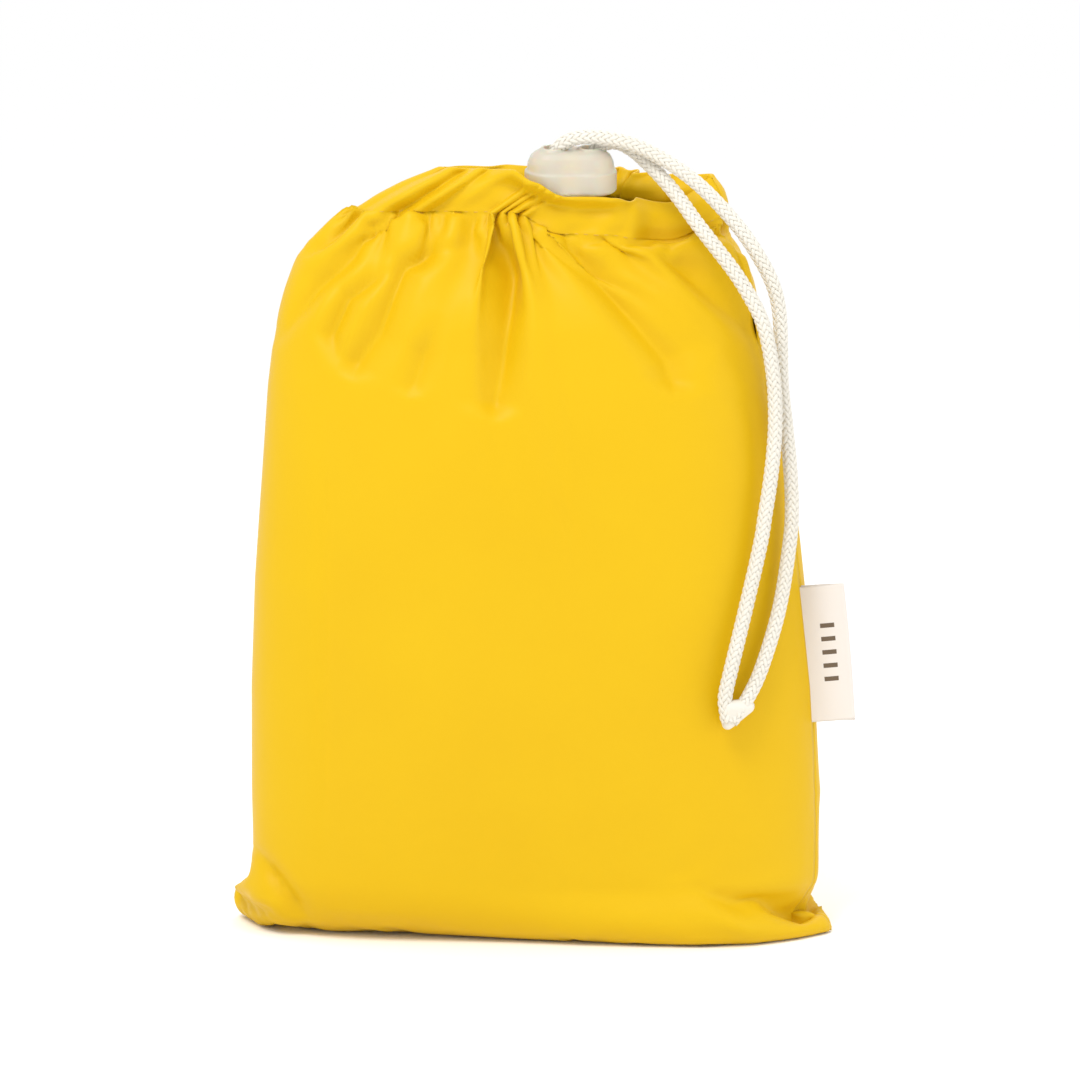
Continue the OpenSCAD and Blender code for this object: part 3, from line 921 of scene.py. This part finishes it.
def label_ribbon():
    """The folded ribbon in its place on the seam, with its flat coordinates for the print."""
    path = ribbon_path()
    heights = np.linspace(0, 1, 33)
    grid = np.array([ribbon_row(path, h) for h in heights])
    x, y = turned(grid[..., 0], grid[..., 1], LABEL_TURN)
    z, x = turned(grid[..., 2], x, LABEL_LEAN)
    grid = np.stack([x, y, z], axis=2) + np.array(LABEL_FOOT)
    columns = len(path)
    faces = grid_faces(len(heights), columns)
    obj = new_object("label_ribbon_cloth", grid.reshape(-1, 3) * MM, faces)
    weave = obj.data.attributes.new("ribbon", "FLOAT2", "POINT")
    flat = [(x if k <= columns / 2 else -x, LABEL_LENGTH * h)
            for h in heights for k, (x, _) in enumerate(path)]
    weave.data.foreach_set("vector", (np.array(flat) * MM).ravel())
    add_modifier(obj, "SUBSURF", levels=1, render_levels=1)
    add_modifier(obj, "SOLIDIFY", thickness=RIBBON_THICKNESS * MM, offset=0)
    return obj


# Colours, and the label's row of bars: its place on the ribbon, and one bar's pitch and width, in mm.
CLOTH_LIGHT = (0.68, 0.432, 0.002)
CLOTH_DARK = (0.645, 0.387, 0.001)
CORD_LIGHT = (0.75, 0.72, 0.65)
CORD_DARK = (0.67, 0.63, 0.54)
THREAD_COLOR = (0.62, 0.37, 0.012)
STOPPER_COLOR = (0.85, 0.8, 0.69)
STOPPER_LIGHT = (0.87, 0.83, 0.72)
STOPPER_DARK = (0.82, 0.765, 0.64)
RIBBON_WHITE = (0.70, 0.645, 0.59)
MARK_BROWN = (0.12, 0.08, 0.045)
MARK_ACROSS = (4.6, 8.6)
MARK_UP = (11.4, 29.8)
MARK_PITCH = 3.8
MARK_BAR = 1.3
WEAVE_PITCH = 0.36 * MM
RIB_PITCH = 0.35 * MM


def shader(name, color, **inputs):
    """A material whose plain values sit on its Principled shader."""
    material = bpy.data.materials.new(name)
    material.use_nodes = True
    bsdf = material.node_tree.nodes["Principled BSDF"]
    bsdf.inputs["Base Color"].default_value = (*color, 1)
    for key, value in inputs.items():
        bsdf.inputs[key.replace("_", " ")].default_value = value
    return material


def add_node(material, kind, inputs=(), **settings):
    """A node whose inputs are given as (socket, value or output socket) pairs."""
    made = material.node_tree.nodes.new(kind)
    for key, value in settings.items():
        setattr(made, key, value)
    for key, value in inputs:
        if isinstance(value, bpy.types.NodeSocket):
            material.node_tree.links.new(value, made.inputs[key])
        else:
            made.inputs[key].default_value = value
    return made


def connect(material, socket, key):
    material.node_tree.links.new(socket, material.node_tree.nodes["Principled BSDF"].inputs[key])


def object_place(material):
    return add_node(material, "ShaderNodeTexCoord").outputs["Object"]


def noise(material, where, scale, detail=2.0):
    inputs = [("Vector", where), ("Scale", scale), ("Detail", detail)]
    return add_node(material, "ShaderNodeTexNoise", inputs).outputs["Fac"]


def roughness(material, factor, low, high):
    """Roughness between two values, by a factor from 0 to 1."""
    inputs = [("Value", factor), ("To Min", low), ("To Max", high)]
    connect(material, add_node(material, "ShaderNodeMapRange", inputs).outputs[0], "Roughness")


def bump(material, height, strength, distance, under=None):
    """Relief from a height, in mm, on top of another bump where one is given."""
    inputs = [("Height", height), ("Strength", strength), ("Distance", distance * MM)]
    if under is not None:
        inputs.append(("Normal", under))
    normal = add_node(material, "ShaderNodeBump", inputs).outputs[0]
    connect(material, normal, "Normal")
    return normal


def math_node(material, operation, a, b=0.0):
    return add_node(material, "ShaderNodeMath", [(0, a), (1, b)], operation=operation).outputs[0]


def stripes(material, coordinate, pitch):
    """A wave from -1 to 1 along one coordinate, repeating at the pitch."""
    turns = math_node(material, "MULTIPLY", coordinate, 2 * math.pi / pitch)
    return math_node(material, "SINE", turns)


def plain_weave(material, flat, pitch):
    """The height of a plain weave over flat coordinates."""
    warp = stripes(material, flat[0], pitch)
    weft = stripes(material, flat[1], pitch)
    return math_node(material, "MULTIPLY", warp, weft)


def flat_place(material, attribute):
    """The flat coordinates kept on a cloth's points: the vector and its two parts."""
    where = add_node(material, "ShaderNodeAttribute", attribute_name=attribute).outputs["Vector"]
    split = add_node(material, "ShaderNodeSeparateXYZ", [(0, where)])
    return where, split.outputs[:2]


def tint(material, factor, dark, light):
    """Base colour between two shades, by a factor from 0 to 1."""
    mix = add_node(material, "ShaderNodeMix", [("Factor", factor)], data_type="RGBA")
    mix.inputs[6].default_value = (*dark, 1)
    mix.inputs[7].default_value = (*light, 1)
    connect(material, mix.outputs[2], "Base Color")


def cloth_material():
    """Coated nylon: a fine plain weave, a soft sheen, and faint patches of shade and gloss."""
    m = shader("pouch_nylon", CLOTH_LIGHT, Sheen_Weight=0.02, Sheen_Roughness=0.5,
               Specular_IOR_Level=0.17)
    place = object_place(m)
    patches = noise(m, place, 22.0, 4.0)
    tint(m, patches, CLOTH_DARK, CLOTH_LIGHT)
    roughness(m, patches, 0.4, 0.52)
    _, flat = flat_place(m, "cut")
    weave = bump(m, plain_weave(m, flat, WEAVE_PITCH), 0.1, 0.05)
    bump(m, noise(m, place, 160.0, 3.0), 0.25, 0.35, weave)
    return m


def yarn_material():
    """Polyester yarn: a fine noise of filaments in its surface, and a little soil."""
    m = shader("cord_yarn", CORD_LIGHT, Specular_IOR_Level=0.5, Sheen_Weight=0.1)
    place = object_place(m)
    filaments = noise(m, place, 1400.0)
    tint(m, noise(m, place, 60.0), CORD_DARK, CORD_LIGHT)
    roughness(m, filaments, 0.38, 0.6)
    bump(m, filaments, 0.4, 0.1)
    return m


def thread_material():
    """Sewing thread, with the wave of its twist."""
    m = shader("seam_thread", THREAD_COLOR, Roughness=0.55, Sheen_Weight=0.3)
    twist = add_node(m, "ShaderNodeTexWave", [("Vector", object_place(m)), ("Scale", 900.0)])
    bump(m, twist.outputs["Fac"], 0.5, 0.05)
    return m


def stopper_material():
    """Frosted soft plastic, clouded a little unevenly."""
    m = shader("stopper_plastic", STOPPER_COLOR, Transmission_Weight=0.5, IOR=1.46,
               Subsurface_Weight=0.35, Subsurface_Scale=3 * MM, Specular_IOR_Level=0.45)
    cloud = noise(m, object_place(m), 180.0, 5.0)
    tint(m, cloud, STOPPER_DARK, STOPPER_LIGHT)
    roughness(m, cloud, 0.36, 0.5)
    bump(m, cloud, 0.12, 0.15)
    return m


def within(material, value, low, high):
    """1 where a coordinate is between two values in mm, 0 elsewhere."""
    above = math_node(material, "GREATER_THAN", value, low * MM)
    below = math_node(material, "LESS_THAN", value, high * MM)
    return math_node(material, "MULTIPLY", above, below)


def ribbon_material():
    """Satin ribbon with a small row of plain bars woven into its front."""
    m = shader("label_satin", RIBBON_WHITE, Sheen_Weight=0.2, Specular_IOR_Level=0.4)
    where, flat = flat_place(m, "ribbon")
    across, up = flat
    step = math_node(m, "MODULO", up, MARK_PITCH * MM)
    bar = math_node(m, "LESS_THAN", step, MARK_BAR * MM)
    row = math_node(m, "MULTIPLY", within(m, across, *MARK_ACROSS), within(m, up, *MARK_UP))
    tint(m, math_node(m, "MULTIPLY", row, bar), RIBBON_WHITE, MARK_BROWN)
    roughness(m, noise(m, where, 500.0), 0.45, 0.6)
    bump(m, plain_weave(m, flat, RIB_PITCH), 0.12, 0.05)
    return m


# Lamps: name, place in metres, size and power. They all point at the pouch's middle.
WORLD_LIGHT = 1
LAMPS = (
    ("key", (-0.3, -0.6, 1.05), 0.45, 6.3),
    ("fill", (0.9, -0.5, 0.35), 0.6, 1.2),
    ("rim", (0.25, 0.6, 0.8), 0.5, 1.5))
LAMP_AIM = (0, 0, 0.11)
FLOOR_HALF = 40


def add_light(name, place, size, power):
    data = bpy.data.lights.new(name, "AREA")
    data.size = size
    data.energy = power
    light = add_object(name, data)
    light.location = place
    light.rotation_euler = (Vector(LAMP_AIM) - Vector(place)).to_track_quat("-Z", "Y").to_euler()


def studio():
    """White surroundings, a pale floor and soft lamps."""
    world = bpy.data.worlds.new("studio")
    world.use_nodes = True
    background = world.node_tree.nodes["Background"]
    background.inputs["Color"].default_value = (1, 1, 1, 1)
    background.inputs["Strength"].default_value = WORLD_LIGHT
    bpy.context.scene.world = world
    bpy.context.scene.view_settings.view_transform = "Standard"
    for lamp in LAMPS:
        add_light(*lamp)
    corners = [(x * FLOOR_HALF, y * FLOOR_HALF, 0) for x, y in SQUARE]
    floor = new_object("floor", corners, [(0, 1, 2, 3)], shaded_smooth=False)
    floor.data.materials.append(shader("floor_white", (1, 1, 1), Roughness=1, Specular_IOR_Level=0))


def finish_piece(obj, material, node_names, body="pouch"):
    """Gives a piece its material and slot and its body, and hides the CAD nodes that it stands for."""
    obj.data.materials.clear()
    obj.data.materials.append(material)
    if body:
        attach(obj, body)
    if node_names:
        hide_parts(*node_names)


def build_cords(yarn):
    """The loop's two strands and the join at their ends. Returns the strands' paths in mm."""
    outer_cord, outer_path, outer_length = braided_cord("outer_strand_cord", OUTER_ROUTE)
    inner_cord, inner_path, inner_length = braided_cord("inner_strand_cord", INNER_ROUTE)
    cord_tip = soften_cad_node("cord_tip", "cord_join", 0.3 * MM, 4)
    finish_piece(outer_cord, yarn, ["outer_strand"], "stopper")
    finish_piece(inner_cord, yarn, ["inner_strand"], "stopper")
    finish_piece(cord_tip, yarn, ["cord_join"], "stopper")
    return outer_path / MM, inner_path / MM


def settled_panels():
    """The grids of the two panels after the cloth has settled and been drawn to its place."""
    front = panel_grid(-1, FRONT_SPREAD, FRONT_PLEATS, FRONT_FOLDS)
    back = panel_grid(1, BACK_SPREAD, BACK_PLEATS, BACK_FOLDS)
    points, flat, faces, ids = tube_cloth(front, back)
    points = settle_cloth(points, flat, faces, ids)
    front, back = points[ids["front"]], points[ids["back"]]
    for panel in (front, back):
        panel[..., 2] -= FLOOR_GAP * np.exp(-panel[..., 2] / 10)
    slide_round(front, back)
    front, back = fit_to_contents(front, FRONT_CALM), fit_to_contents(back, BACK_CALM)
    for panel in (front, back):
        draw_out_ear(panel)
    return front, back


def casings():
    """The grids of the two casings, joined at the side seams."""
    front = casing_rows(-1, FRONT_SPREAD, FRONT_PLEATS)
    back = casing_rows(1, BACK_SPREAD, BACK_PLEATS)
    for i in (0, -1):
        middle = (front[:, i] + back[:, i]) / 2
        front[:, i], back[:, i] = middle, middle
    return front, back


def build_cloth(cord_paths, nylon):
    """The two cloth panels. Returns their grids and those of their casings, in mm."""
    front, back = settled_panels()
    front_casing, back_casing = casings()
    meet_casing(front, front_casing)
    meet_casing(back, back_casing)
    recess_seams(front, back)
    grids = (front, back, front_casing, back_casing)
    front, back, front_casing, back_casing = (refine(grid) for grid in grids)
    front = press_creases(front, CREASES)
    press_under(front, cord_paths)
    front_cloth = panel_sheet("front_cloth", front, front_casing, -1)
    back_cloth = panel_sheet("back_cloth", back, back_casing, 1)
    finish_piece(front_cloth, nylon, ["front_panel", "front_casing"])
    finish_piece(back_cloth, nylon, ["back_panel", "back_casing"])
    return front, back, front_casing, back_casing


def build_seams(front, back, nylon):
    """The stitches round the mouth, and the joined edges inside the seams."""
    lines = [(panel[-1] * MM, outward(panel[-4:])[-1]) for panel in (front, back)]
    casing_threads = stitches("casing_threads", lines)
    finish_piece(casing_threads, thread_material(), ["casing_stitching"])
    edges = (
        ("right_seam_edges", front[24:-4, 0], (-1.0, 0, 0), SIDE_EDGE_WIDTH, "right_seam"),
        ("left_seam_edges", front[24:-4, -1], (1.0, 0, 0), SIDE_EDGE_WIDTH, "left_seam"),
        ("bottom_seam_edges", front[0, 16:-16], (0, 0, 1.0), BOTTOM_EDGE_WIDTH, "bottom_seam"))
    for name, line, inward, width, node_name in edges:
        edge = seam_allowance(name, line * MM, np.array(inward), width)
        finish_piece(edge, nylon, [node_name])


add_camera()
yarn = yarn_material()
nylon = cloth_material()
cord_paths = build_cords(yarn)
front, back, front_casing, back_casing = build_cloth(cord_paths, nylon)
build_seams(front, back, nylon)
stopper = moulded_stopper()
finish_piece(stopper, stopper_material(), ["cord_stopper"], "stopper")
label = label_ribbon()
finish_piece(label, ribbon_material(), ["label_ribbon"], None)
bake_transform(label)
casing_cord = hidden_cord(front_casing, back_casing)
finish_piece(casing_cord, yarn, ["cord_casing_run"])

studio()
